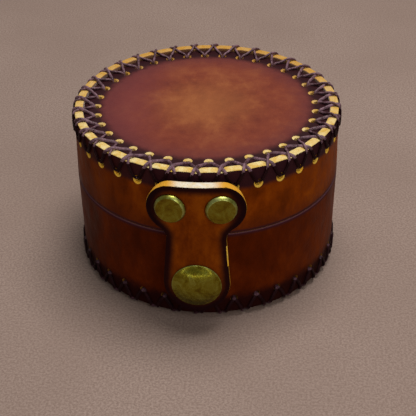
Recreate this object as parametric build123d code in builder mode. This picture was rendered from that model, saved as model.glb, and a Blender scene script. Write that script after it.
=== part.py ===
"""Round leather jewelry box, cross-laced at both rims, with a riveted snap strap and a leather hinge."""

from build123d import *
import os
from math import cos, radians, sin, sqrt

os.makedirs("parts", exist_ok=True)

# Leather shell, in millimetres. The box stands on its lower lacing at z = 0.
wall_radius = 41.7
wall_thickness = 2.8
base_wall_height = 29.8
lid_wall_height = 21.4
disc_thickness = 3.0
disc_inset = 0.8
disc_gap = 0.1

# Cross lacing. Each disc hole and the wall hole at the same angle carry one stitch end.
stitch_count = 36
lace_thickness = 0.45
lace_width = 1.2
lace_seat = 0.05
lace_gap = 0.2
crossing_inset = 1.6
hole_across = 2.6
disc_hole_inset = 4.5
wall_hole_depth = 5.3
run_width = 2.2
run_thickness = 1.1

# Lining. Its upper edge stands inside the lid as a collar.
liner_thickness = 1.8
liner_gap = 0.35
collar_height = 4.0
pad_thickness = 1.5
pad_clearance = 0.3
lining_seat = 0.05

# Closing strap, cut to one outline and split at its flex line.
strap_thickness = 3.1
strap_lace_gap = 0.35
strap_top_drop = 2.75
lobe_spacing = 14.2
lobe_radius = 7.45
neck_width = 17.7
tongue_width = 19.9
neck_drop = 21.5
neck_fillet = 4.0
flex_drop = 20.2
snap_drop = 35.2
snap_stand_off = 2.8
stand_off_run = 10.5

# Double-cap rivets and the four-piece snap.
seat_gap = 0.02
rivet_angle = 9.0
rivet_drop = 9.3
cap_radius = 4.65
cap_sides = 24
cap_height = 1.6
cap_bevel = 0.9
post_radius = 1.5
post_hole_gap = 0.05
shank_sides = 6
back_cap_radius = 3.2
back_cap_height = 0.9
snap_cap_radius = 7.4
snap_cap_rim = 0.6
snap_shoulder_radius = 6.1
snap_shoulder_height = 1.5
snap_crown_radius = 3.4
snap_cap_height = 2.5
snap_stem_radius = 1.8
socket_radius = 5.0
socket_plate = 0.5
socket_wall_gap = 0.25
stud_flange_radius = 4.3
stud_flange_height = 0.6
stud_radius = 2.4
stud_tip_gap = 0.25
stud_clearance = 0.1
stud_tip_bevel = 0.3

# Leather hinge at the back, one leaf on each side of the seam.
hinge_thickness = 2.2
hinge_wall_gap = 0.1
hinge_width = 26.0
hinge_leaf_height = 14.5
hinge_corner = 3.0
hinge_rivet_angle = 9.0
hinge_rivet_height = 9.0

# Heights and radii that follow from the sizes above.
lace_stack = 2 * lace_thickness + lace_gap
foot_z = lace_seat + lace_stack
seam_z = foot_z + base_wall_height
rim_z = seam_z + lid_wall_height
wall_inner = wall_radius - wall_thickness
hole_ring = wall_inner - disc_hole_inset
pitch = 360 / stitch_count


def sagitta(radius, half_chord):
    """Depth of a circular arc over half a chord."""
    return radius - sqrt(radius**2 - half_chord**2)


strap_radius = wall_radius + lace_seat + lace_stack + strap_lace_gap
strap_face = strap_radius + strap_thickness
flex_z = rim_z - flex_drop
snap_z = rim_z - snap_drop
tongue_radius = wall_radius + snap_stand_off
tongue_face = tongue_radius + strap_thickness
hinge_radius = wall_radius + hinge_wall_gap
hinge_face = hinge_radius + hinge_thickness
front_reach = tongue_face + seat_gap + snap_cap_height
back_reach = hinge_face + seat_gap + cap_height

# The origin lies below the middle of the whole outline, so the box's own axis stands behind it.
axis_y = (front_reach - back_reach) / 2
box_axis = Axis((0, axis_y, 0), (0, 0, 1))
floor_plane = Plane((0, axis_y, 0))
section = Plane((0, axis_y, 0), x_dir=(0, -1, 0), z_dir=(-1, 0, 0))
front_view = Plane((0, axis_y, 0), x_dir=(1, 0, 0), z_dir=(0, -1, 0))
back_view = Plane((0, axis_y, 0), x_dir=(-1, 0, 0), z_dir=(0, 1, 0))


def outward(angle, radius, height):
    """Plane that faces out of the box at an angle from the front, at a radius and a height."""
    turn = radians(angle)
    aim = Vector(sin(turn), -cos(turn), 0)
    spot = Vector(0, axis_y, height) + aim * radius
    return Plane(spot, x_dir=(cos(turn), sin(turn), 0), z_dir=aim)


def turned(seat, *points):
    """Round piece turned about the normal of its seat plane, from (radius, height) points."""
    with BuildPart() as piece:
        with BuildSketch(Plane(seat.origin, x_dir=seat.x_dir, z_dir=-seat.y_dir)):
            with BuildLine():
                Polyline(*points, close=True)
            make_face()
        revolve(axis=Axis(seat.origin, seat.z_dir))
    return piece.part


def radial_drill(angle, height, hole_radius):
    """Six-sided drill through everything between the inside of the lining and the strap."""
    with BuildPart() as bit:
        with BuildSketch(outward(angle, wall_inner / 2, height)):
            RegularPolygon(hole_radius, shank_sides, major_radius=False)
        extrude(amount=wall_radius)
    return bit.part


def lacing_punch(height):
    """Square punch through a wall at a height, along +X."""
    with BuildPart() as punch:
        with BuildSketch(Plane.YZ.offset(wall_inner - wall_thickness)):
            with Locations((0, height)):
                Rectangle(hole_across, hole_across)
        extrude(amount=3 * wall_thickness)
    return punch.part


rivet_hole_radius = post_radius + post_hole_gap
snap_hole_radius = snap_stem_radius + post_hole_gap
strap_rivet_z = rim_z - rivet_drop
upper_rivet_z = seam_z + hinge_rivet_height
lower_rivet_z = seam_z - hinge_rivet_height
strap_rivet_angles = (-rivet_angle, rivet_angle)
hinge_rivet_angles = (180 - hinge_rivet_angle, 180 + hinge_rivet_angle)
strap_drills = [radial_drill(angle, strap_rivet_z, rivet_hole_radius) for angle in strap_rivet_angles]
upper_drills = [radial_drill(angle, upper_rivet_z, rivet_hole_radius) for angle in hinge_rivet_angles]
lower_drills = [radial_drill(angle, lower_rivet_z, rivet_hole_radius) for angle in hinge_rivet_angles]
snap_drill = radial_drill(0, snap_z, snap_hole_radius)
base_punch = lacing_punch(foot_z + wall_hole_depth)
lid_punch = lacing_punch(rim_z - wall_hole_depth)

# Base wall, with its ring of lacing holes.
with BuildPart(floor_plane) as base_wall:
    with BuildSketch(section):
        with Locations(((wall_inner + wall_radius) / 2, (foot_z + seam_z) / 2)):
            Rectangle(wall_thickness, base_wall_height)
    revolve(axis=box_axis)
    with PolarLocations(0, stitch_count, start_angle=pitch / 2 - 90):
        add(base_punch, mode=Mode.SUBTRACT)
    with Locations((0, -axis_y)):
        add(lower_drills + [snap_drill], mode=Mode.SUBTRACT)
base_wall.part.label = "base_wall"
export_step(base_wall.part, "parts/base_wall.step")

# Lid wall, with its own ring of lacing holes near the rim.
with BuildPart(floor_plane) as lid_wall:
    with BuildSketch(section):
        with Locations(((wall_inner + wall_radius) / 2, (seam_z + rim_z) / 2)):
            Rectangle(wall_thickness, lid_wall_height)
    revolve(axis=box_axis)
    with PolarLocations(0, stitch_count, start_angle=pitch / 2 - 90):
        add(lid_punch, mode=Mode.SUBTRACT)
    with Locations((0, -axis_y)):
        add(strap_drills + upper_drills, mode=Mode.SUBTRACT)
lid_wall.part.label = "lid_wall"
export_step(lid_wall.part, "parts/lid_wall.step")


def punched_disc(outer_z, inward):
    """Leather disc inside a wall, its outer face at outer_z and its holes matched to the wall's."""
    with BuildPart(floor_plane) as disc:
        with BuildSketch(floor_plane.offset(outer_z)):
            Circle(wall_inner - disc_gap)
            with PolarLocations(hole_ring, stitch_count, start_angle=pitch / 2 - 90):
                Rectangle(hole_across, hole_across, mode=Mode.SUBTRACT)
        extrude(amount=disc_thickness, dir=(0, 0, inward))
    return disc


base_bottom = punched_disc(foot_z + disc_inset, 1)
base_bottom.part.label = "base_bottom"
export_step(base_bottom.part, "parts/base_bottom.step")

lid_top = punched_disc(rim_z - disc_inset, -1)
lid_top.part.label = "lid_top"
export_step(lid_top.part, "parts/lid_top.step")


def strand(inward, slant, lift):
    """One strand from a disc hole over the raw edge to the next wall hole, drawn at +X.

    inward is 1 where the box lies above the edge and -1 where it lies below. slant is the side of
    the wall hole, and lift the strand's height above the leather.
    """
    half_turn = radians(pitch / 2)
    inner_face = wall_radius + lift
    outer_face = inner_face + lace_thickness
    disc_stop = hole_ring - run_thickness / 2
    wall_stop = inward * (wall_hole_depth + run_thickness / 2)
    crossing = Vector(wall_radius - crossing_inset, 0, 0)
    disc_end = Vector(hole_ring * cos(half_turn), -slant * hole_ring * sin(half_turn), 0)
    wall_end = Vector(
        inner_face * cos(half_turn), slant * inner_face * sin(half_turn), inward * wall_hole_depth
    )
    across = (crossing - disc_end).cross(wall_end - crossing)
    with BuildPart() as piece:
        with BuildSketch(Plane(crossing, z_dir=across)):
            Rectangle(wall_radius, wall_radius)
        extrude(amount=lace_width / 2, both=True)
        with BuildSketch(Plane.XZ):
            with BuildLine():
                Polyline(
                    (disc_stop, -inward * lift),
                    (inner_face, -inward * lift),
                    (inner_face, wall_stop),
                    (outer_face, wall_stop),
                    (outer_face, -inward * (lift + lace_thickness)),
                    (disc_stop, -inward * (lift + lace_thickness)),
                    close=True,
                )
            make_face()
        extrude(amount=wall_radius, both=True, mode=Mode.INTERSECT)
    return piece.part


def inner_run(inward):
    """Lace inside the corner, from a disc hole to its wall hole, drawn in the plane of the holes."""
    half_turn = radians(pitch / 2)
    near = hole_ring - run_thickness / 2
    far = hole_ring + run_thickness / 2
    low = inward * (wall_hole_depth - run_thickness / 2)
    high = inward * (wall_hole_depth + run_thickness / 2)
    wall_stop = wall_radius + lace_seat
    side = Plane(
        (0, 0, 0), x_dir=(cos(half_turn), sin(half_turn), 0), z_dir=(sin(half_turn), -cos(half_turn), 0)
    )
    with BuildPart() as piece:
        with BuildSketch(side):
            with BuildLine():
                Polyline(
                    (near, 0), (far, 0), (far, low), (wall_stop, low), (wall_stop, high), (near, high), close=True
                )
            make_face()
        extrude(amount=run_width / 2, both=True)
    return piece.part


def lacing(edge_z, inward):
    """The whole lace at one rim: crossed strands over the raw edge and the runs inside the corner."""
    under = strand(inward, 1, lace_seat)
    over = strand(inward, -1, lace_seat + lace_thickness + lace_gap)
    run = inner_run(inward)
    with BuildPart(floor_plane.offset(edge_z)) as lace:
        with PolarLocations(0, stitch_count, start_angle=-90):
            add([under, over, run])
    return lace


base_lacing = lacing(foot_z, 1)
base_lacing.part.label = "base_lacing"
export_step(base_lacing.part, "parts/base_lacing.step")

lid_lacing = lacing(rim_z, -1)
lid_lacing.part.label = "lid_lacing"
export_step(lid_lacing.part, "parts/lid_lacing.step")

# Lining of the base, which hides the inner runs of the lace.
liner_outer = wall_inner - liner_gap
liner_inner = liner_outer - liner_thickness
lining_z = foot_z + wall_hole_depth + run_thickness / 2 + lining_seat
with BuildPart() as base_liner:
    with BuildSketch(floor_plane.offset(lining_z)):
        Circle(liner_outer)
        Circle(liner_inner, mode=Mode.SUBTRACT)
    extrude(amount=seam_z + collar_height - lining_z)
    add(lower_drills + [snap_drill], mode=Mode.SUBTRACT)
base_liner.part.label = "base_liner"
export_step(base_liner.part, "parts/base_liner.step")

with BuildPart() as floor_pad:
    with BuildSketch(floor_plane.offset(lining_z)):
        Circle(liner_inner - pad_clearance)
    extrude(amount=pad_thickness)
floor_pad.part.label = "floor_pad"
export_step(floor_pad.part, "parts/floor_pad.step")

# Strap outline as seen from the front, with both lobes at the top and a round end at the snap.
with BuildSketch(front_view) as strap_outline:
    with BuildLine():
        Polyline(
            (-lobe_spacing / 2, rim_z - strap_top_drop),
            (lobe_spacing / 2, rim_z - strap_top_drop),
            (neck_width / 2, rim_z - neck_drop),
            (tongue_width / 2, snap_z),
            (-tongue_width / 2, snap_z),
            (-neck_width / 2, rim_z - neck_drop),
            close=True,
        )
    make_face()
    with Locations((0, snap_z)):
        Circle(tongue_width / 2)
    with Locations(
        (-lobe_spacing / 2, rim_z - strap_top_drop - lobe_radius),
        (lobe_spacing / 2, rim_z - strap_top_drop - lobe_radius),
    ):
        Circle(lobe_radius)
    lobe_corners = strap_outline.vertices().filter_by_position(
        Axis.Y, rim_z - neck_drop + seat_gap, rim_z - strap_top_drop - lobe_radius
    )
    fillet(lobe_corners, neck_fillet)

# Upper half of the strap, riveted to the lid.
with BuildPart() as strap_yoke:
    extrude(strap_outline.sketch, amount=front_reach)
    with BuildSketch(section):
        with Locations(((strap_radius + strap_face) / 2, (flex_z + rim_z) / 2)):
            Rectangle(strap_thickness, rim_z - flex_z)
    revolve(axis=box_axis, mode=Mode.INTERSECT)
    add(strap_drills, mode=Mode.SUBTRACT)
strap_yoke.part.label = "strap_yoke"
export_step(strap_yoke.part, "parts/strap_yoke.step")

# Lower half of the strap, standing off the wall where the snap holds it.
stand_off_z = flex_z - stand_off_run
with BuildPart() as strap_tongue:
    extrude(strap_outline.sketch, amount=front_reach)
    with BuildSketch(section):
        with BuildLine():
            Polyline(
                (strap_radius, flex_z),
                (tongue_radius, stand_off_z),
                (tongue_radius, snap_z - tongue_width),
                (tongue_face, snap_z - tongue_width),
                (tongue_face, stand_off_z),
                (strap_face, flex_z),
                close=True,
            )
        make_face()
    revolve(axis=box_axis, mode=Mode.INTERSECT)
    add(snap_drill, mode=Mode.SUBTRACT)
strap_tongue.part.label = "strap_tongue"
export_step(strap_tongue.part, "parts/strap_tongue.step")


def rivet_cap(angle, radius, height):
    """Flat brass cap with a bevelled edge, its underside at a radius from the box axis."""
    with BuildPart() as piece:
        with BuildSketch(outward(angle, radius, height)):
            RegularPolygon(cap_radius, cap_sides)
        extrude(amount=cap_height)
        outer_face = piece.faces().sort_by(Axis.Y)[0 if cos(radians(angle)) > 0 else -1]
        chamfer(outer_face.edges(), cap_bevel)
    return piece.part


def rivet_post(angle, inner, outer, height, shank_radius):
    """Six-sided shank from a back cap inside the wall out to the radius where the outer cap begins."""
    seat = outward(angle, inner, height)
    with BuildPart() as piece:
        with BuildSketch(seat.offset(-back_cap_height)):
            RegularPolygon(back_cap_radius, cap_sides)
        extrude(amount=back_cap_height)
        with BuildSketch(seat):
            RegularPolygon(shank_radius, shank_sides, major_radius=False)
        extrude(amount=outer - inner)
    return piece.part


# Caps rest on the crest of the curved leather; back caps touch it with their outer edges.
strap_cap_seat = strap_face + seat_gap
hinge_cap_seat = hinge_face + seat_gap
lid_back_seat = wall_inner - sagitta(wall_inner, back_cap_radius) - seat_gap
base_back_seat = liner_inner - sagitta(liner_inner, back_cap_radius) - seat_gap

with BuildPart() as strap_rivet_caps:
    add([rivet_cap(angle, strap_cap_seat, strap_rivet_z) for angle in strap_rivet_angles])
strap_rivet_caps.part.label = "strap_rivet_caps"
export_step(strap_rivet_caps.part, "parts/strap_rivet_caps.step")

with BuildPart() as strap_rivet_posts:
    add(
        [
            rivet_post(angle, lid_back_seat, strap_cap_seat, strap_rivet_z, post_radius)
            for angle in strap_rivet_angles
        ]
    )
strap_rivet_posts.part.label = "strap_rivet_posts"
export_step(strap_rivet_posts.part, "parts/strap_rivet_posts.step")

with BuildPart() as hinge_upper_rivet_caps:
    add([rivet_cap(angle, hinge_cap_seat, upper_rivet_z) for angle in hinge_rivet_angles])
hinge_upper_rivet_caps.part.label = "hinge_upper_rivet_caps"
export_step(hinge_upper_rivet_caps.part, "parts/hinge_upper_rivet_caps.step")

with BuildPart() as hinge_upper_rivet_posts:
    add(
        [
            rivet_post(angle, lid_back_seat, hinge_cap_seat, upper_rivet_z, post_radius)
            for angle in hinge_rivet_angles
        ]
    )
hinge_upper_rivet_posts.part.label = "hinge_upper_rivet_posts"
export_step(hinge_upper_rivet_posts.part, "parts/hinge_upper_rivet_posts.step")

with BuildPart() as hinge_lower_rivet_caps:
    add([rivet_cap(angle, hinge_cap_seat, lower_rivet_z) for angle in hinge_rivet_angles])
hinge_lower_rivet_caps.part.label = "hinge_lower_rivet_caps"
export_step(hinge_lower_rivet_caps.part, "parts/hinge_lower_rivet_caps.step")

with BuildPart() as hinge_lower_rivet_posts:
    add(
        [
            rivet_post(angle, base_back_seat, hinge_cap_seat, lower_rivet_z, post_radius)
            for angle in hinge_rivet_angles
        ]
    )
hinge_lower_rivet_posts.part.label = "hinge_lower_rivet_posts"
export_step(hinge_lower_rivet_posts.part, "parts/hinge_lower_rivet_posts.step")

# Hinge leaves, cut to one rounded outline as seen from the back.
with BuildSketch(back_view.shift_origin((0, axis_y, seam_z))) as leaf_outline:
    RectangleRounded(hinge_width, 2 * hinge_leaf_height, hinge_corner)

with BuildPart() as hinge_upper_leaf:
    extrude(leaf_outline.sketch, amount=back_reach)
    with BuildSketch(section):
        with Locations(((hinge_radius + hinge_face) / 2, seam_z + hinge_leaf_height / 2)):
            Rectangle(hinge_thickness, hinge_leaf_height)
    revolve(axis=box_axis, mode=Mode.INTERSECT)
    add(upper_drills, mode=Mode.SUBTRACT)
hinge_upper_leaf.part.label = "hinge_upper_leaf"
export_step(hinge_upper_leaf.part, "parts/hinge_upper_leaf.step")

with BuildPart() as hinge_lower_leaf:
    extrude(leaf_outline.sketch, amount=back_reach)
    with BuildSketch(section):
        with Locations(((hinge_radius + hinge_face) / 2, seam_z - hinge_leaf_height / 2)):
            Rectangle(hinge_thickness, hinge_leaf_height)
    revolve(axis=box_axis, mode=Mode.INTERSECT)
    add(lower_drills, mode=Mode.SUBTRACT)
hinge_lower_leaf.part.label = "hinge_lower_leaf"
export_step(hinge_lower_leaf.part, "parts/hinge_lower_leaf.step")

# Snap: domed cap and socket on the strap, stud and its post on the base.
cap_seat = outward(0, tongue_face + seat_gap, snap_z)
socket_seat = tongue_radius - sagitta(tongue_radius, socket_radius) - seat_gap
stud_seat = wall_radius + seat_gap
flange_top = stud_seat + stud_flange_height
plate_face = socket_seat - socket_plate
stud_height = plate_face - stud_tip_gap - stud_seat
with BuildPart() as snap_cap:
    add(
        turned(
            cap_seat,
            (0, 0),
            (snap_cap_radius, 0),
            (snap_cap_radius, snap_cap_rim),
            (snap_shoulder_radius, snap_shoulder_height),
            (snap_crown_radius, snap_cap_height),
            (0, snap_cap_height),
        )
    )
    with BuildSketch(cap_seat):
        RegularPolygon(snap_stem_radius, shank_sides, major_radius=False)
    extrude(amount=socket_seat - tongue_face - seat_gap)
snap_cap.part.label = "snap_cap"
export_step(snap_cap.part, "parts/snap_cap.step")

with BuildPart() as snap_socket:
    add(
        turned(
            outward(0, socket_seat, snap_z),
            (0, 0),
            (0, -socket_plate),
            (stud_radius + stud_clearance, -socket_plate),
            (stud_radius + stud_clearance, flange_top + socket_wall_gap - socket_seat),
            (socket_radius, flange_top + socket_wall_gap - socket_seat),
            (socket_radius, 0),
        )
    )
snap_socket.part.label = "snap_socket"
export_step(snap_socket.part, "parts/snap_socket.step")

with BuildPart() as snap_stud:
    add(
        turned(
            outward(0, stud_seat, snap_z),
            (0, 0),
            (stud_flange_radius, 0),
            (stud_flange_radius, stud_flange_height),
            (stud_radius, stud_flange_height),
            (stud_radius, stud_height - stud_tip_bevel),
            (stud_radius - stud_tip_bevel, stud_height),
            (0, stud_height),
        )
    )
snap_stud.part.label = "snap_stud"
export_step(snap_stud.part, "parts/snap_stud.step")

with BuildPart() as snap_stud_post:
    add(rivet_post(0, base_back_seat, stud_seat, snap_z, snap_stem_radius))
snap_stud_post.part.label = "snap_stud_post"
export_step(snap_stud_post.part, "parts/snap_stud_post.step")
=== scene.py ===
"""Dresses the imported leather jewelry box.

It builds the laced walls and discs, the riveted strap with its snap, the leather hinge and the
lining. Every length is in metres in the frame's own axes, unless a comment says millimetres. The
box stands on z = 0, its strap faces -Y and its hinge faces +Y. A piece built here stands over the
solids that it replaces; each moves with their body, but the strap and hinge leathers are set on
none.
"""

import logging
import math
from dataclasses import dataclass
from enum import Enum, IntEnum
from typing import Callable, Sequence

import bmesh
import bpy
from mathutils import Matrix, Vector

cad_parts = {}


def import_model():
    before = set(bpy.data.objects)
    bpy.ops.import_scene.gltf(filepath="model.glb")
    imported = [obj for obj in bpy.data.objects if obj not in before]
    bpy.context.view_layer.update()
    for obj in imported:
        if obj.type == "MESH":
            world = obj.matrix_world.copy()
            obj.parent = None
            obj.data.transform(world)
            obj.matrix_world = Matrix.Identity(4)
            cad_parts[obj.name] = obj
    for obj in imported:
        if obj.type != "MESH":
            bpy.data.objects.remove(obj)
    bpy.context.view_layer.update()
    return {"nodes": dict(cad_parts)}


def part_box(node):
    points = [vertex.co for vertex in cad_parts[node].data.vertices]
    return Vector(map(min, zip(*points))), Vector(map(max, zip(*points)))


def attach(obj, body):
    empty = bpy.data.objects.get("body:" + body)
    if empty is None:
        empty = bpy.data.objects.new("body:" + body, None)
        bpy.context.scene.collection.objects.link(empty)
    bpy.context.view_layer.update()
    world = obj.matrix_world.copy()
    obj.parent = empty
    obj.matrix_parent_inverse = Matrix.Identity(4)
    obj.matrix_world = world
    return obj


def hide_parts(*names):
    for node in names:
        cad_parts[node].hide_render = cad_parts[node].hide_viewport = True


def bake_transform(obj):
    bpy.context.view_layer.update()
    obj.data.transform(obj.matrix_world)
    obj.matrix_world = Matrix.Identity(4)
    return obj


LOG = logging.getLogger("jewelry_box")
MM = 0.001
MERGE = 0.004 * MM
STITCHES = 36
STEP = math.tau / STITCHES
UPRIGHT = (0, 0, 1)
OUTWARD = (1, 0, 0)

# The attribute that holds a point's distance from the cut edge.
EDGE_ATTRIBUTE = "cut_edge"
# The place of the second finish on lace and on brass.
ACCENT = 1

Colour = tuple[float, float, float, float]
Point = tuple[float, float, float]
Pairs = tuple[tuple[float, float], ...]


def dye(red: int, green: int, blue: int) -> Colour:
    """Turns a screen colour into the linear colour that a shader takes.

    Args:
        red: Red, from 0 to 255.
        green: Green, from 0 to 255.
        blue: Blue, from 0 to 255.

    Returns:
        The linear colour, with full cover.
    """
    parts = [c / 255 for c in (red, green, blue)]
    linear = [c / 12.92 if c <= 0.04045 else ((c + 0.055) / 1.055) ** 2.4 for c in parts]
    return (linear[0], linear[1], linear[2], 1.0)


class Slot(Enum):
    """Material slots that the record names."""

    SHELL = "shell_leather"
    TOP = "top_leather"
    LACE = "lace"
    BRASS = "brass"
    LINING = "lining"


class Layer(IntEnum):
    """Order of the finishes on a piece of leather."""

    GRAIN = 0
    CUT = 1
    FLESH = 2
    OTHER = 3


class Along(Enum):
    """What a band of colour is measured along."""

    ACROSS = "distance to the right of the box axis"
    DEPTH = "distance behind the box axis"
    HEIGHT = "height above the foot"
    REACH = "distance from the box axis"
    RIM = "distance from the cut edge"


@dataclass(frozen=True)
class Frame:
    """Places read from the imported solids."""

    axis_y: float
    foot_z: float
    seam_z: float
    rim_z: float

    @classmethod
    def read(cls) -> "Frame":
        """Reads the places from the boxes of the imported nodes.

        Returns:
            The places of this box.
        """
        low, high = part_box("base_wall")
        lid_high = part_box("lid_wall")[1]
        return cls(
            axis_y=(low.y + high.y) / 2,
            foot_z=low.z,
            seam_z=high.z,
            rim_z=lid_high.z,
        )

    def spot(self, reach: float, across: float, height: float) -> Vector:
        """Gives the point this far out from the axis along +X, this far across, at this height."""
        return Vector((reach, self.axis_y + across, height))

    def centre(self, height: float = 0.0) -> Point:
        """Gives the point of the box axis at a height."""
        return (0.0, self.axis_y, height)


# Bench tools that select, cut and join meshes


class Bench:
    """The moves that every piece here is made with."""

    @staticmethod
    def clear() -> None:
        """Leaves edit mode and selects nothing."""
        if bpy.context.mode != "OBJECT":
            bpy.ops.object.mode_set(mode="OBJECT")
        bpy.ops.object.select_all(action="DESELECT")

    @staticmethod
    def take(obj: bpy.types.Object) -> None:
        """Selects one object alone and makes it the active one.

        Args:
            obj: The object to select.
        """
        Bench.clear()
        obj.select_set(True)
        bpy.context.view_layer.objects.active = obj

    @staticmethod
    def edit(obj: bpy.types.Object, action: str = "DESELECT") -> None:
        """Opens an object's mesh for editing, with all or nothing selected.

        Args:
            obj: The object to work on.
            action: SELECT for all of the mesh, or DESELECT for none of it.
        """
        Bench.take(obj)
        bpy.ops.object.mode_set(mode="EDIT")
        bpy.ops.mesh.select_all(action=action)

    @staticmethod
    def added(name: str) -> bpy.types.Object:
        """Names the object just added and puts its place into its mesh.

        Args:
            name: The name for the object and its mesh.

        Returns:
            The object.
        """
        obj = bpy.context.object
        obj.name = name
        obj.data.name = name
        bpy.ops.object.transform_apply(location=True, rotation=True, scale=True)
        return obj

    @staticmethod
    def pick(obj: bpy.types.Object, test: Callable[[Vector], bool]) -> None:
        """Selects the points of an open mesh that pass a test of their place.

        Args:
            obj: The object, in edit mode.
            test: Tells from its place whether a point is taken.
        """
        shape = bmesh.from_edit_mesh(obj.data)
        for vert in shape.verts:
            vert.select_set(test(vert.co))
        shape.select_flush(True)
        bmesh.update_edit_mesh(obj.data)

    @staticmethod
    def shift(obj: bpy.types.Object, test: Callable[[Vector], bool], move: Point) -> None:
        """Moves the points of an object that pass a test of their place.

        Args:
            obj: The object to work on.
            test: Tells from its place whether a point is moved.
            move: How far the points move along each axis.
        """
        Bench.edit(obj)
        Bench.pick(obj, test)
        bpy.ops.transform.translate(value=move)
        Bench.clear()

    @staticmethod
    def paint(obj: bpy.types.Object, slot: int, test: Callable[[Vector, Vector], bool]) -> None:
        """Gives a material slot to the faces that pass a test of their centre and normal.

        Args:
            obj: The object to work on.
            slot: The place of the finish in the order of its finishes.
            test: Tells from a face's centre and normal whether it is painted.
        """
        for face in obj.data.polygons:
            if test(face.center, face.normal):
                face.material_index = int(slot)

    @staticmethod
    def line(name: str, points: Sequence[Vector], closed: bool) -> bpy.types.Object:
        """Draws a line of edges by extruding one point along a row of places, and leaves it open.

        Args:
            name: The name of the new object.
            points: The places, in order.
            closed: Whether the last point joins the first.

        Returns:
            The object that holds the line, still in edit mode.
        """
        Bench.clear()
        bpy.ops.mesh.primitive_plane_add(size=MM, location=points[0])
        obj = Bench.added(name)
        Bench.edit(obj, "SELECT")
        bpy.ops.mesh.merge(type="CENTER")
        for near, far in zip(points, points[1:]):
            bpy.ops.mesh.extrude_region_move(TRANSFORM_OT_translate={"value": far - near})
        if closed:
            ends = (points[0], points[-1])
            Bench.pick(obj, lambda place: min((place - end).length for end in ends) < MERGE)
            bpy.ops.mesh.edge_face_add()
        return obj

    @staticmethod
    def turn(
        name: str,
        points: Sequence[Vector],
        centre: Point,
        axis: Point,
        steps: int,
        closed: bool = False,
        soften: float = 0.0,
        segments: int = 2,
    ) -> bpy.types.Object:
        """Turns a drawn section round an axis into a closed shape.

        Args:
            name: The name of the new object.
            points: The section's corners.
            centre: A point of the axis.
            axis: The axis direction.
            steps: How many steps make the whole turn.
            closed: Whether the section closes on itself, as a ring's does.
            soften: How far the corners of a closed section are rounded.
            segments: Faces across each rounded corner.

        Returns:
            The turned object, with its faces pointing outwards.
        """
        obj = Bench.line(name, points, closed)
        bpy.ops.mesh.select_all(action="SELECT")
        if soften:
            bpy.ops.mesh.bevel(offset=soften, segments=segments, affect="VERTICES")
            bpy.ops.mesh.select_all(action="SELECT")
        bpy.ops.mesh.spin(steps=steps, angle=math.tau, center=centre, axis=axis)
        bpy.ops.mesh.select_all(action="SELECT")
        bpy.ops.mesh.remove_doubles(threshold=MERGE)
        bpy.ops.mesh.normals_make_consistent(inside=False)
        Bench.clear()
        return obj

    @staticmethod
    def ring(obj: bpy.types.Object, frame: Frame) -> None:
        """Repeats an object's mesh round the box axis, once for each stitch.

        Args:
            obj: The object to work on.
            frame: The box's places.
        """
        Bench.edit(obj, "SELECT")
        bpy.ops.mesh.spin(
            steps=STITCHES - 1,
            dupli=True,
            angle=math.tau * (STITCHES - 1) / STITCHES,
            center=frame.centre(),
            axis=UPRIGHT,
        )
        Bench.clear()

    @staticmethod
    def swing(obj: bpy.types.Object, frame: Frame, angle: float) -> None:
        """Turns an object's mesh round the box axis, anticlockwise from above.

        Args:
            obj: The object to work on.
            frame: The box's places.
            angle: The angle, in radians.
        """
        Bench.take(obj)
        matrix = (
            Matrix.Translation(frame.centre())
            @ Matrix.Rotation(angle, 4, "Z")
            @ Matrix.Translation(-Vector(frame.centre()))
        )
        obj.matrix_world = matrix @ obj.matrix_world
        bpy.ops.object.transform_apply(location=True, rotation=True, scale=True)

    @staticmethod
    def modify(obj: bpy.types.Object, kind: str, **settings: object) -> None:
        """Adds a modifier with the given settings and applies it.

        Args:
            obj: The object to work on.
            kind: The kind of modifier.
            settings: The names of its settings with their values.
        """
        Bench.take(obj)
        bpy.ops.object.modifier_add(type=kind)
        modifier = obj.modifiers[-1]
        for key, value in settings.items():
            setattr(modifier, key, value)
        bpy.ops.object.modifier_apply(modifier=modifier.name)

    @staticmethod
    def punch(obj: bpy.types.Object, cutter: bpy.types.Object) -> None:
        """Cuts a shape out of an object, and leaves the cut faces the cutter's finish.

        Args:
            obj: The object that is cut.
            cutter: The shape that is cut out, which is used up.
        """
        Bench.modify(
            obj,
            "BOOLEAN",
            object=cutter,
            operation="DIFFERENCE",
            solver="EXACT",
            material_mode="TRANSFER",
        )
        bpy.data.objects.remove(cutter, do_unlink=True)

    @staticmethod
    def join(parts: Sequence[bpy.types.Object], name: str) -> bpy.types.Object:
        """Joins objects into one, under a name.

        Args:
            parts: The objects, which are used up.
            name: The name for the whole.

        Returns:
            The whole.
        """
        Bench.clear()
        for part in parts:
            part.select_set(True)
        bpy.context.view_layer.objects.active = parts[0]
        bpy.ops.object.join()
        obj = bpy.context.object
        obj.name = name
        obj.data.name = name
        return obj

    @staticmethod
    def smooth(obj: bpy.types.Object, degrees: float = 34.0) -> None:
        """Shades an object smooth up to an angle between faces.

        Args:
            obj: The object to work on.
            degrees: The widest angle that still shades smooth.
        """
        Bench.take(obj)
        bpy.ops.object.shade_smooth_by_angle(angle=math.radians(degrees))
        Bench.clear()

    @staticmethod
    def dress(obj: bpy.types.Object, *finishes: bpy.types.Material) -> None:
        """Gives an object its materials, in slot order."""
        for finish in finishes:
            obj.data.materials.append(finish)


# Finishes: leather, lace, brass, suede and tabletop


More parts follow.
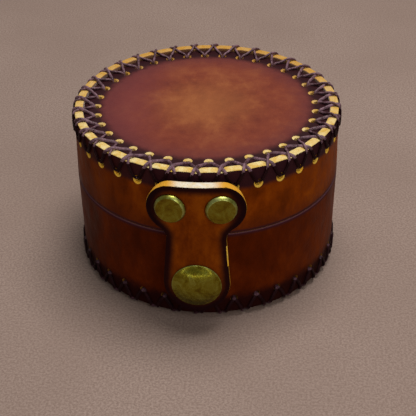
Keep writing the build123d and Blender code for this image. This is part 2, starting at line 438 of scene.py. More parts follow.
class Recipe:
    """One material, put together node by node. Its places are in millimetres from the box axis."""

    def __init__(self, name: str, frame: Frame) -> None:
        """Starts a material whose patterns are centred on the box axis.

        Args:
            name: The material's name.
            frame: The box's places.
        """
        self.material = bpy.data.materials.new(name)
        self.material.use_nodes = True
        self.tree = self.material.node_tree
        self.shader = self.tree.nodes["Principled BSDF"]
        coordinates = self.tree.nodes.new("ShaderNodeTexCoord")
        mapping = self.tree.nodes.new("ShaderNodeMapping")
        mapping.inputs["Scale"].default_value = (1 / MM,) * 3
        mapping.inputs["Location"].default_value = (0, -frame.axis_y / MM, 0)
        self.join(coordinates.outputs["Object"], mapping.inputs["Vector"])
        self.place = mapping.outputs["Vector"]

    def join(self, source: object, socket: bpy.types.NodeSocket) -> None:
        """Joins a node's output, or sets a plain value, on a socket.

        Args:
            source: A node's output, or a plain value.
            socket: The socket that takes it.
        """
        if isinstance(source, bpy.types.NodeSocket):
            self.tree.links.new(source, socket)
        else:
            socket.default_value = source

    def noise(
        self,
        size: float,
        detail: float = 3.0,
        rough: float = 0.55,
        stretch: Point = (1, 1, 1),
        warp: float = 0.0,
        shift: float = 0.0,
    ) -> bpy.types.NodeSocket:
        """Adds soft noise.

        Args:
            size: The size of its patches, in millimetres.
            detail: How many finer layers it has.
            rough: How strong the finer layers are.
            stretch: How much longer the patches are along each axis.
            warp: How much the patches twist.
            shift: An offset that gives another draw of the same kind.

        Returns:
            The noise, from 0 to 1.
        """
        mapping = self.tree.nodes.new("ShaderNodeMapping")
        mapping.inputs["Scale"].default_value = [1 / (size * s) for s in stretch]
        mapping.inputs["Location"].default_value = (shift, shift * 0.7, -shift)
        self.join(self.place, mapping.inputs["Vector"])
        node = self.tree.nodes.new("ShaderNodeTexNoise")
        node.inputs["Scale"].default_value = 1.0
        node.inputs["Detail"].default_value = detail
        node.inputs["Roughness"].default_value = rough
        node.inputs["Distortion"].default_value = warp
        self.join(mapping.outputs["Vector"], node.inputs["Vector"])
        return node.outputs["Fac"]

    def cells(self, size: float) -> bpy.types.NodeSocket:
        """Adds a cell pattern: 0 at each cell's middle, rising to its border.

        Args:
            size: The size of a cell, in millimetres.

        Returns:
            The socket that gives it.
        """
        mapping = self.tree.nodes.new("ShaderNodeMapping")
        mapping.inputs["Scale"].default_value = (1 / size,) * 3
        self.join(self.place, mapping.inputs["Vector"])
        node = self.tree.nodes.new("ShaderNodeTexVoronoi")
        node.inputs["Scale"].default_value = 1.0
        self.join(mapping.outputs["Vector"], node.inputs["Vector"])
        return node.outputs["Distance"]

    def sum(self, kind: str, first: object, second: object = 0.0) -> bpy.types.NodeSocket:
        """Adds a sum of the kind named, on one number or two.

        Args:
            kind: The kind of sum.
            first: The first number.
            second: The second number, where the sum has one.

        Returns:
            The socket that gives it.
        """
        node = self.tree.nodes.new("ShaderNodeMath")
        node.operation = kind
        self.join(first, node.inputs[0])
        self.join(second, node.inputs[1])
        return node.outputs["Value"]

    def fade(
        self, value: object, start: float, end: float, low: float = 0.0, high: float = 1.0
    ) -> bpy.types.NodeSocket:
        """Adds a smooth fade from low at start to high at end.

        Args:
            value: The number that it follows.
            start: Where the fade starts.
            end: Where it ends, above its start.
            low: What it gives up to its start.
            high: What it gives from its end on.

        Returns:
            The socket that gives it.
        """
        node = self.tree.nodes.new("ShaderNodeMapRange")
        node.interpolation_type = "SMOOTHSTEP"
        self.join(value, node.inputs["Value"])
        node.inputs["From Min"].default_value = start
        node.inputs["From Max"].default_value = end
        node.inputs["To Min"].default_value = low
        node.inputs["To Max"].default_value = high
        return node.outputs["Result"]

    def blend(self, amount: object, first: object, second: object) -> bpy.types.NodeSocket:
        """Adds a mix of two colours, all the second where the amount is 1.

        Args:
            amount: The share of the second colour.
            first: The first colour.
            second: The second colour.

        Returns:
            The socket that gives it.
        """
        node = self.tree.nodes.new("ShaderNodeMix")
        node.data_type = "RGBA"
        self.join(amount, node.inputs[0])
        self.join(first, node.inputs[6])
        self.join(second, node.inputs[7])
        return node.outputs[2]

    def ramp(self, value: object, stops: Sequence[tuple[float, Colour]]) -> bpy.types.NodeSocket:
        """Adds a row of colours that a value picks from.

        Args:
            value: The number that it follows.
            stops: Each colour with its place, from low to high.

        Returns:
            The socket that gives it.
        """
        node = self.tree.nodes.new("ShaderNodeValToRGB")
        line = node.color_ramp
        line.elements[0].position, line.elements[0].color = stops[0]
        line.elements[1].position, line.elements[1].color = stops[-1]
        for position, colour in stops[1:-1]:
            line.elements.new(position).color = colour
        self.join(value, node.inputs["Fac"])
        return node.outputs["Color"]

    def measure(self, along: Along) -> bpy.types.NodeSocket:
        """Adds the surface's place along one of the named measures, in millimetres.

        Args:
            along: The measure.

        Returns:
            The socket that gives it.
        """
        if along is Along.RIM:
            node = self.tree.nodes.new("ShaderNodeAttribute")
            node.attribute_name = EDGE_ATTRIBUTE
            return node.outputs["Fac"]
        parts = self.tree.nodes.new("ShaderNodeSeparateXYZ")
        self.join(self.place, parts.inputs["Vector"])
        plain = {Along.ACROSS: "X", Along.DEPTH: "Y", Along.HEIGHT: "Z"}
        if along in plain:
            return parts.outputs[plain[along]]
        squares = [self.sum("MULTIPLY", parts.outputs[k], parts.outputs[k]) for k in "XY"]
        return self.sum("SQRT", self.sum("ADD", *squares))

    def relief(self, layers: Sequence[tuple[object, float]]) -> None:
        """Lays bumps on the surface, each layer with its depth in millimetres.

        Args:
            layers: The height of each layer with its depth, the lowest layer first.
        """
        under = None
        for height, depth in layers:
            node = self.tree.nodes.new("ShaderNodeBump")
            node.inputs["Distance"].default_value = depth * MM
            self.join(height, node.inputs["Height"])
            if under is not None:
                self.join(under, node.inputs["Normal"])
            under = node.outputs["Normal"]
        self.join(under, self.shader.inputs["Normal"])

    def finish(self, colour: object, rough: object, **plain: object) -> bpy.types.Material:
        """Gives the shader its colour, its roughness and the values that are the same all over.

        Args:
            colour: The colour.
            rough: The roughness.
            plain: Other values by their sockets' names, with _ for each space.

        Returns:
            The material.
        """
        self.join(colour, self.shader.inputs["Base Color"])
        self.join(rough, self.shader.inputs["Roughness"])
        for name, value in plain.items():
            self.shader.inputs[name.replace("_", " ")].default_value = value
        return self.material


@dataclass(frozen=True)
class Band:
    """A place where the colour turns to another colour, in full at its end. Some bands are dye;
    others are painted shade or a painted highlight, as a comment at each says.

    Its start, its end and how far its edge wanders are in millimetres.
    """

    along: Along
    start: float
    end: float
    colour: Colour
    strength: float = 1.0
    ragged: float = 0.8


@dataclass(frozen=True)
class Leather:
    """Smooth dyed leather with cloudy colour, fine grain and bands of other colour, some of them
    painted shade or a painted highlight.
    """

    name: str
    shade: Colour
    body: Colour
    glow: Colour
    bands: tuple[Band, ...] = ()
    cloud: float = 13.0
    stretch: Point = (1, 1, 1)
    rough: float = 0.46
    grain: float = 0.5
    warm: Colour = (1.0, 0.6, 0.3, 1.0)
    shine: float = 0.04
    spread: float = 0.14

    def make(self, frame: Frame) -> bpy.types.Material:
        """Builds the material for a box in this frame.

        Args:
            frame: The box's places.

        Returns:
            The material.
        """
        mix = Recipe(self.name, frame)
        clouds = mix.noise(self.cloud, 4, 0.6, self.stretch, warp=0.4)
        mottle = mix.noise(self.cloud / 3.5, 5, 0.65, self.stretch, shift=5.1)
        tone = mix.sum("ADD", mix.sum("MULTIPLY", clouds, 0.65), mix.sum("MULTIPLY", mottle, 0.35))
        low, high = 0.5 - self.spread, 0.5 + self.spread
        colour = mix.ramp(tone, [(low, self.shade), (0.5, self.body), (high, self.glow)])
        specks = mix.noise(0.9, 2, 0.7, shift=2.3)
        colour = mix.blend(mix.fade(specks, 0.62, 0.74, 0, 0.35), colour, self.shade)
        stray = mix.noise(2.6, 4, 0.6, shift=7.7)
        for band in self.bands:
            wander = mix.sum("MULTIPLY", mix.sum("SUBTRACT", stray, 0.5), 4 * band.ragged)
            place = mix.sum("ADD", mix.measure(band.along), wander)
            amount = mix.fade(place, min(band.start, band.end), max(band.start, band.end))
            if band.end < band.start:
                amount = mix.sum("SUBTRACT", 1.0, amount)
            amount = mix.sum("MULTIPLY", amount, band.strength)
            colour = mix.blend(amount, colour, band.colour)
        pores = mix.cells(0.55)
        wrinkles = mix.noise(1.6, 4, 0.6, shift=3.3)
        swell = mix.noise(7.0, 2, 0.5, shift=9.1)
        mix.relief(
            [
                (swell, 0.5 * self.grain),
                (wrinkles, 0.16 * self.grain),
                (pores, 0.08 * self.grain),
            ]
        )
        rough = mix.fade(mottle, 0.3, 0.7, self.rough - 0.07, self.rough + 0.1)
        return mix.finish(colour, rough, Specular_IOR_Level=self.shine, Specular_Tint=self.warm)


@dataclass(frozen=True)
class CutLeather:
    """The undyed fibre that shows at cut edges and in punched holes.

    It may turn to another colour towards the box's sides, and may be painted darker towards the
    box's back as painted shade.
    """

    name: str
    pale: Colour
    gold: Colour
    stain: Colour
    stained: float = 0.35
    sides: Colour | None = None
    behind: Colour | None = None

    def make(self, frame: Frame) -> bpy.types.Material:
        """Builds the material for a box in this frame.

        Args:
            frame: The box's places.

        Returns:
            The material.
        """
        mix = Recipe(self.name, frame)
        tone = mix.noise(2.4, 4, 0.65, warp=0.5)
        colour = mix.ramp(tone, [(0.36, self.gold), (0.6, self.pale)])
        if self.sides:
            off = mix.sum("ABSOLUTE", mix.measure(Along.ACROSS))
            colour = mix.blend(mix.fade(off, 3.5, 8.5, 0.0, 0.96), colour, self.sides)
        # Painted shade: the cut edge is painted darker towards the box's back.
        if self.behind:
            depth = mix.measure(Along.DEPTH)
            colour = mix.blend(mix.fade(depth, -40.0, 38.0, 0.0, 0.75), colour, self.behind)
        blots = mix.noise(0.8, 4, 0.7, shift=4.4)
        colour = mix.blend(mix.fade(blots, 0.54, 0.7, 0, self.stained), colour, self.stain)
        fibres = mix.noise(0.35, 4, 0.75)
        layers = mix.noise(0.5, 3, 0.7, (3, 3, 0.5), shift=1.2)
        mix.relief([(layers, 0.14), (fibres, 0.16)])
        return mix.finish(colour, 0.8, Specular_IOR_Level=0.05)


@dataclass(frozen=True)
class WaxedLace:
    """Dark waxed lace with a lilac bloom."""

    name: str
    deep: Colour
    worn: Colour
    shine: float

    def make(self, frame: Frame) -> bpy.types.Material:
        """Builds the material for a box in this frame.

        Args:
            frame: The box's places.

        Returns:
            The material.
        """
        mix = Recipe(self.name, frame)
        tone = mix.noise(1.8, 4, 0.65)
        colour = mix.ramp(tone, [(0.38, self.deep), (0.66, self.worn)])
        strands = mix.noise(0.3, 4, 0.7)
        mix.relief([(mix.cells(0.42), 0.1), (strands, 0.08)])
        rough = mix.fade(tone, 0.35, 0.65, 0.38, 0.55)
        return mix.finish(colour, rough, Specular_IOR_Level=self.shine)


@dataclass(frozen=True)
class AgedBrass:
    """Brass gone olive, with brown blots and fine scratches."""

    name: str
    bright: Colour
    olive: Colour
    brown: Colour
    rough: float = 0.22

    def make(self, frame: Frame) -> bpy.types.Material:
        """Builds the material for a box in this frame.

        Args:
            frame: The box's places.

        Returns:
            The material.
        """
        mix = Recipe(self.name, frame)
        clouds = mix.noise(3.2, 5, 0.65, warp=0.8)
        colour = mix.ramp(clouds, [(0.36, self.brown), (0.5, self.olive), (0.66, self.bright)])
        blots = mix.noise(0.9, 4, 0.7, shift=6.1)
        colour = mix.blend(mix.fade(blots, 0.56, 0.72, 0, 0.35), colour, self.brown)
        scratches = mix.noise(0.5, 3, 0.7, (4.0, 4.0, 0.35), shift=3.0)
        mix.relief([(mix.noise(2.4, 1, 0.5), 0.003), (scratches, 0.0005)])
        rough = mix.fade(blots, 0.35, 0.7, self.rough - 0.04, self.rough + 0.12)
        return mix.finish(colour, rough, Metallic=1.0)


@dataclass(frozen=True)
class Suede:
    """Soft napped leather for the inside."""

    name: str
    dark: Colour
    light: Colour

    def make(self, frame: Frame) -> bpy.types.Material:
        """Builds the material for a box in this frame.

        Args:
            frame: The box's places.

        Returns:
            The material.
        """
        mix = Recipe(self.name, frame)
        nap = mix.noise(6.0, 5, 0.7, warp=1.0)
        colour = mix.ramp(nap, [(0.35, self.dark), (0.65, self.light)])
        fuzz = mix.noise(0.3, 3, 0.8, shift=8.2)
        colour = mix.blend(mix.fade(fuzz, 0.35, 0.7, 0, 0.3), colour, self.light)
        mix.relief([(mix.noise(1.4, 4, 0.7), 0.12), (fuzz, 0.14)])
        return mix.finish(
            colour, 0.92, Specular_IOR_Level=0.15, Sheen_Weight=0.35, Sheen_Roughness=0.5
        )


@dataclass(frozen=True)
class Tabletop:
    """Plain pale taupe floor with a fine cloth texture."""

    name: str
    tone: Colour
    fleck: Colour

    def make(self, frame: Frame) -> bpy.types.Material:
        """Builds the material for a box in this frame.

        Args:
            frame: The box's places.

        Returns:
            The material.
        """
        mix = Recipe(self.name, frame)
        broad = mix.noise(60.0, 3, 0.5)
        colour = mix.blend(mix.fade(broad, 0.3, 0.7, 0, 0.4), self.tone, self.fleck)
        weave = mix.noise(0.7, 2, 0.8)
        colour = mix.blend(mix.fade(weave, 0.35, 0.65, 0, 0.9), colour, self.fleck)
        mix.relief([(weave, 0.2)])
        return mix.finish(colour, 0.95, Specular_IOR_Level=0.1)


class Finishes:
    """Every finish on the box, made once."""

    def __init__(self, frame: Frame) -> None:
        """Makes the materials for a box in this frame.

        Args:
            frame: The box's places.
        """
        rim = frame.rim_z / MM
        seam = frame.seam_z / MM
        foot = frame.foot_z / MM
        plum = dye(48, 24, 32)
        self.lid_shell = Leather(
            "lid_shell_leather",
            shade=dye(94, 37, 1),
            body=dye(126, 54, 2),
            glow=dye(152, 74, 5),
            bands=(
                Band(Along.HEIGHT, rim - 7.4, rim - 5.2, plum, 0.96, 0.35),
                Band(Along.HEIGHT, seam + 6.5, seam + 0.2, dye(72, 26, 16), 0.6),
                # Painted shade: the lid wall is painted darker towards its left side, where less
                # light falls.
                Band(Along.ACROSS, -4.0, -38.0, dye(78, 28, 3), 0.4, 3.0),
                Band(Along.HEIGHT, seam + 1.3, seam + 0.5, dye(58, 28, 34), 0.9, 0.15),
            ),
            stretch=(1, 1, 1.8),
        ).make(frame)
        self.base_shell = Leather(
            "base_shell_leather",
            shade=dye(66, 20, 1),
            body=dye(85, 28, 1),
            glow=dye(108, 42, 3),
            bands=(
                Band(Along.HEIGHT, foot + 9.0, foot + 4.6, dye(34, 9, 10), 0.95),
                Band(Along.HEIGHT, seam - 1.6, seam - 0.5, dye(60, 26, 32), 0.9, 0.15),
                # Painted highlight: a thin lilac line along the base wall's top edge at the seam.
                Band(Along.HEIGHT, seam - 0.42, seam - 0.2, dye(130, 92, 106), 0.4, 0.0),
            ),
            stretch=(1, 1, 2.2),
        ).make(frame)
        self.bottom = Leather(
            "bottom_leather",
            shade=dye(74, 28, 12),
            body=dye(96, 42, 18),
            glow=dye(116, 56, 26),
            bands=(Band(Along.REACH, 31.0, 34.5, dye(38, 16, 21), 0.94, 0.7),),
        ).make(frame)
        self.top = Leather(
            "top_leather",
            shade=dye(96, 42, 32),
            body=dye(124, 62, 40),
            glow=dye(150, 88, 52),
            bands=(
                Band(Along.REACH, 20.0, 2.0, dye(158, 98, 56), 0.45, 1.4),
                Band(Along.REACH, 12.0, 26.0, dye(116, 52, 42), 0.45, 2.4),
                Band(Along.ACROSS, -8.0, -26.0, dye(106, 50, 54), 0.6, 3.0),
                Band(Along.REACH, 24.0, 33.0, dye(92, 44, 46), 0.7, 1.6),
                Band(Along.REACH, 31.0, 34.5, dye(38, 16, 21), 0.94, 0.7),
            ),
            cloud=11.0,
            stretch=(1.1, 1.4, 1),
            rough=0.42,
            warm=(1.0, 0.8, 0.75, 1.0),
            shine=0.1,
            spread=0.19,
        ).make(frame)
        self.strap = Leather(
            "strap_leather",
            shade=dye(96, 37, 3),
            body=dye(124, 55, 4),
            glow=dye(146, 72, 7),
            bands=(
                Band(Along.HEIGHT, 18.0, 9.0, dye(40, 11, 10), 0.85, 0.5),
                Band(Along.ACROSS, 8.2, 12.2, dye(36, 11, 12), 0.85, 0.5),
                Band(Along.ACROSS, -8.2, -12.2, dye(36, 11, 12), 0.85, 0.5),
                Band(Along.RIM, 3.6, 1.0, dye(26, 7, 13), 0.96, 0.2),
            ),
            cloud=9.0,
            stretch=(1, 1, 1.5),
        ).make(frame)
        # Painted shade: the rim's cut edge is painted darker towards the box's back, leaving the
        # front edges lighter.
        self.cut = CutLeather(
            "cut_edge_leather",
            dye(230, 210, 150),
            dye(214, 174, 82),
            dye(160, 106, 28),
            behind=dye(176, 120, 36),
        ).make(frame)
        # The punched hole lips are raw fibre, painted brighter than the cut edge as a painted
        # highlight where little light reaches into the holes.
        self.punched = CutLeather(
            "punched_leather", dye(255, 214, 92), dye(255, 192, 52), dye(206, 140, 36), 0.15
        ).make(frame)
        self.foot_cut = CutLeather(
            "foot_punched_leather", dye(150, 104, 44), dye(120, 74, 24), dye(70, 34, 14)
        ).make(frame)
        self.strap_cut = CutLeather(
            "strap_cut_leather",
            dye(230, 224, 208),
            dye(226, 208, 168),
            dye(170, 122, 44),
            0.3,
            dye(214, 152, 26),
        ).make(frame)
        self.lace = WaxedLace("waxed_lace", dye(64, 34, 40), dye(134, 100, 112), 0.4).make(frame)
        # Painted shade: the base's lace is a darker copy of the lid's lace.
        self.painted_shade_foot_lace = WaxedLace("painted_shade_foot_lace", dye(46, 20, 27), dye(86, 56, 66), 0.2).make(frame)
        # Painted shade: a near-black copy of the lace for the legs that run down the walls.
        self.painted_shade_lace = WaxedLace("painted_shade_lace", dye(26, 7, 10), dye(40, 15, 19), 0.06).make(frame)
        self.brass = AgedBrass(
            "aged_brass", dye(146, 146, 58), dye(134, 122, 34), dye(112, 92, 24)
        ).make(frame)
        # Brass worn pale on the cap bevels, and also brightened there as a painted highlight.
        self.worn_painted_glint_brass = AgedBrass(
            "worn_painted_glint_brass", dye(176, 184, 112), dye(152, 156, 76), dye(122, 116, 42), 0.36
        ).make(frame)
        self.snap_brass = AgedBrass(
            "snap_brass", dye(150, 152, 66), dye(130, 122, 34), dye(106, 90, 22), 0.2
        ).make(frame)
        self.flesh = Suede("flesh_side", dye(96, 60, 34), dye(130, 88, 52)).make(frame)
        self.suede = Suede("lining_suede", dye(84, 52, 32), dye(118, 78, 50)).make(frame)
        self.floor = Tabletop("tabletop", dye(160, 140, 130), dye(132, 112, 102)).make(frame)


# Laced shell: a wall, its disc and its lace


@dataclass(frozen=True)
class LacedShell:
    """One half of the box: a leather ring, a disc let into its edge, and the lacing between them.

    Drops are measured from the laced edge towards the seam, and reaches from the box axis.
    """

    name: str
    edge_z: float
    seam_z: float
    up: float
    wall: bpy.types.Material
    disc: bpy.types.Material
    disc_node: str
    disc_slot: Slot
    punched: bpy.types.Material
    lace: bpy.types.Material
    edge_radius: float = 41.2 * MM
    seam_radius: float = 41.66 * MM
    thickness: float = 2.8 * MM
    corner: float = 0.42 * MM
    support: float = 1.5 * MM
    below_holes: float = 2.4 * MM
    raw_slope: float = 0.55
    hole_drop: float = 5.3 * MM
    hole_radius: float = 1.1 * MM
    punch_from: float = 36 * MM
    punch_to: float = 43 * MM
    lip: float = 0.4 * MM
    lip_slip: float = 0.2 * MM
    lip_from: float = 41.05 * MM
    lip_middle: float = 41.2 * MM
    lip_to: float = 41.36 * MM
    press: float = 0.42 * MM
    press_drop: float = 0.9 * MM
    disc_drop: float = 0.8 * MM
    disc_thickness: float = 3.0 * MM
    disc_gap: float = 0.05 * MM
    disc_corner: float = 0.5 * MM
    disc_ease: float = 0.3 * MM
    disc_support: float = 31.5 * MM
    disc_hole_reach: float = 34.6 * MM
    disc_hole_radius: float = 1.0 * MM
    disc_lip: float = 0.34 * MM
    disc_lip_slip: float = 0.34 * MM
    disc_lip_depth: float = 0.4 * MM
    painted_shade_run: float = 7.0 * MM
    steps: int = 360
    punch_steps: int = 20

    def level(self, drop: float) -> float:
        """Gives the height that is this far from the laced edge, towards the seam."""
        return self.edge_z - self.up * drop

    def build_wall(self, frame: Frame, finishes: Finishes) -> bpy.types.Object:
        """Turns the ring, presses its edge in under the crossings and punches its holes.

        Args:
            frame: The box's places.
            finishes: The materials.

        Returns:
            The finished ring.
        """
        height = abs(self.edge_z - self.seam_z)
        flare = (self.seam_radius - self.edge_radius) / height
        supports = (self.support, self.hole_drop + self.below_holes, height - self.support)
        section = [
            frame.spot(self.edge_radius, 0, self.edge_z),
            *(
                frame.spot(self.edge_radius + drop * flare, 0, self.level(drop))
                for drop in supports
            ),
            frame.spot(self.seam_radius, 0, self.seam_z),
            frame.spot(self.seam_radius - self.thickness, 0, self.seam_z),
            frame.spot(self.edge_radius - self.thickness, 0, self.edge_z),
        ]
        obj = Bench.turn(
            f"{self.name}_wall_leather",
            section,
            frame.centre(),
            UPRIGHT,
            self.steps,
            closed=True,
            soften=self.corner,
            segments=3,
        )
        Bench.dress(obj, self.wall, finishes.cut, finishes.flesh, finishes.foot_cut)
        axis = Vector(frame.centre())
        Bench.paint(obj, Layer.CUT, lambda c, n: n.z * self.up > self.raw_slope)
        Bench.paint(obj, Layer.OTHER, lambda c, n: n.z * self.up < -0.9)
        Bench.paint(
            obj,
            Layer.FLESH,
            lambda c, n: n.xy.dot((c - axis).xy) < -0.6 * (c - axis).xy.length,
        )
        self.press_crossings(obj, frame)
        self.punch_ring(obj, self.wall_punch(frame), frame, self.punched)
        return obj

    def wall_punch(self, frame: Frame) -> bpy.types.Object:
        """Turns the punch for one wall hole, which flares where it leaves the grain side.

        Args:
            frame: The box's places.

        Returns:
            The punch, at the first hole before it is swung.
        """
        height = self.level(self.hole_drop)
        wide = self.hole_radius + self.lip
        section = (
            (self.punch_from, 0),
            (self.punch_from, self.hole_radius),
            (self.lip_from, self.hole_radius),
            (self.lip_to, wide),
            (self.punch_to, wide),
            (self.punch_to, 0),
        )
        cutter = Bench.turn(
            "wall_punch",
            [frame.spot(reach, off, height) for reach, off in section],
            frame.centre(height),
            OUTWARD,
            self.punch_steps,
        )
        slip = (0, 0, -self.up * self.lip_slip)
        Bench.shift(cutter, lambda place: place.x > self.lip_middle, slip)
        return cutter

    def press_crossings(self, obj: bpy.types.Object, frame: Frame) -> None:
        """Presses the edge in where the laces cross it, deepest at the middle of each crossing.

        Args:
            obj: The ring.
            frame: The box's places.
        """
        Bench.edit(obj)
        degree = math.radians(1.0)
        for angle, share in ((0, 1.0), (1, 0.75), (-1, 0.75), (2, 0.25), (-2, 0.25)):

            def near(place: Vector, angle: int = angle) -> bool:
                """Tells whether a point of the edge is at this many degrees from a crossing."""
                turn = math.atan2(place.y - frame.axis_y, place.x) - angle * degree
                off = abs((turn + STEP / 2) % STEP - STEP / 2)
                return off < degree / 3 and (place.z - self.level(self.press_drop)) * self.up > 0

            Bench.pick(obj, near)
            bpy.ops.transform.translate(value=(0, 0, -self.up * self.press * share))
        Bench.clear()

    def punch_ring(
        self,
        obj: bpy.types.Object,
        cutter: bpy.types.Object,
        frame: Frame,
        finish: bpy.types.Material,
    ) -> None:
        """Punches one hole between each two crossings, and smooths the piece.

        Args:
            obj: The ring or the disc.
            cutter: The punch for one hole.
            frame: The box's places.
            finish: The finish of the punched faces.
        """
        Bench.dress(cutter, finish)
        Bench.swing(cutter, frame, STEP / 2)
        Bench.ring(cutter, frame)
        Bench.punch(obj, cutter)
        Bench.smooth(obj)

    def build_disc(self, frame: Frame, finishes: Finishes) -> bpy.types.Object:
        """Turns the disc that closes this end, and punches its holes.

        Args:
            frame: The box's places.
            finishes: The materials.

        Returns:
            The finished disc.
        """
        back = self.disc_drop + self.disc_thickness
        rim = self.edge_radius - self.thickness - self.disc_gap
        soft = self.disc_corner
        section = (
            (0, self.disc_drop),
            (rim * 0.5, self.disc_drop),
            (self.disc_support, self.disc_drop),
            (rim - soft - self.disc_ease, self.disc_drop),
            (rim - soft, self.disc_drop),
            (rim - 0.15 * soft, self.disc_drop + 0.3 * soft),
            (rim, self.disc_drop + soft),
            (rim, back),
            (rim * 0.5, back),
            (0, back),
        )
        obj = Bench.turn(
            f"{self.name}_disc_leather",
            [frame.spot(reach, 0, self.level(drop)) for reach, drop in section],
            frame.centre(),
            UPRIGHT,
            self.steps // 2,
        )
        Bench.dress(obj, self.disc, finishes.cut, finishes.flesh)
        Bench.paint(obj, Layer.FLESH, lambda c, n: n.z * self.up < -0.5)
        self.punch_ring(obj, self.disc_punch(frame), frame, finishes.cut)
        return obj

    def disc_punch(self, frame: Frame) -> bpy.types.Object:
        """Turns the punch for one disc hole, which flares and slips inwards at the face.

        Args:
            frame: The box's places.

        Returns:
            The punch, at the first hole before it is swung.
        """
        face = self.level(self.disc_drop)
        back = self.level(self.disc_drop + self.disc_thickness)
        wide = self.disc_hole_radius + self.disc_lip
        section = (
            (0, back - self.up * MM),
            (self.disc_hole_radius, back - self.up * MM),
            (self.disc_hole_radius, face - self.up * self.disc_lip_depth),
            (wide, face),
            (wide, face + self.up * MM),
            (0, face + self.up * MM),
        )
        cutter = Bench.turn(
            "disc_punch",
            [frame.spot(self.disc_hole_reach + off, 0, height) for off, height in section],
            (self.disc_hole_reach, frame.axis_y, 0),
            UPRIGHT,
            self.punch_steps,
        )
        sunk = self.level(self.disc_drop + self.disc_lip_depth / 2)
        slip = (-self.disc_lip_slip, 0, 0)
        Bench.shift(cutter, lambda place: (place.z - sunk) * self.up > 0, slip)
        return cutter

    def build(self, frame: Frame, finishes: Finishes) -> list[bpy.types.Object]:
        """Builds the ring, the disc and the lacing, and sets each on its body.

        Args:
            frame: The box's places.
            finishes: The materials.

        Returns:
            The pieces.
        """
        wall = self.build_wall(frame, finishes)
        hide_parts(f"{self.name}_wall")
        disc = self.build_disc(frame, finishes)
        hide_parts(self.disc_node)
        lacing = CrossLacing(self).build(frame, finishes)
        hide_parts(f"{self.name}_lacing")
        for piece in (wall, disc, lacing):
            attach(piece, self.name)
        return [wall, disc, lacing]


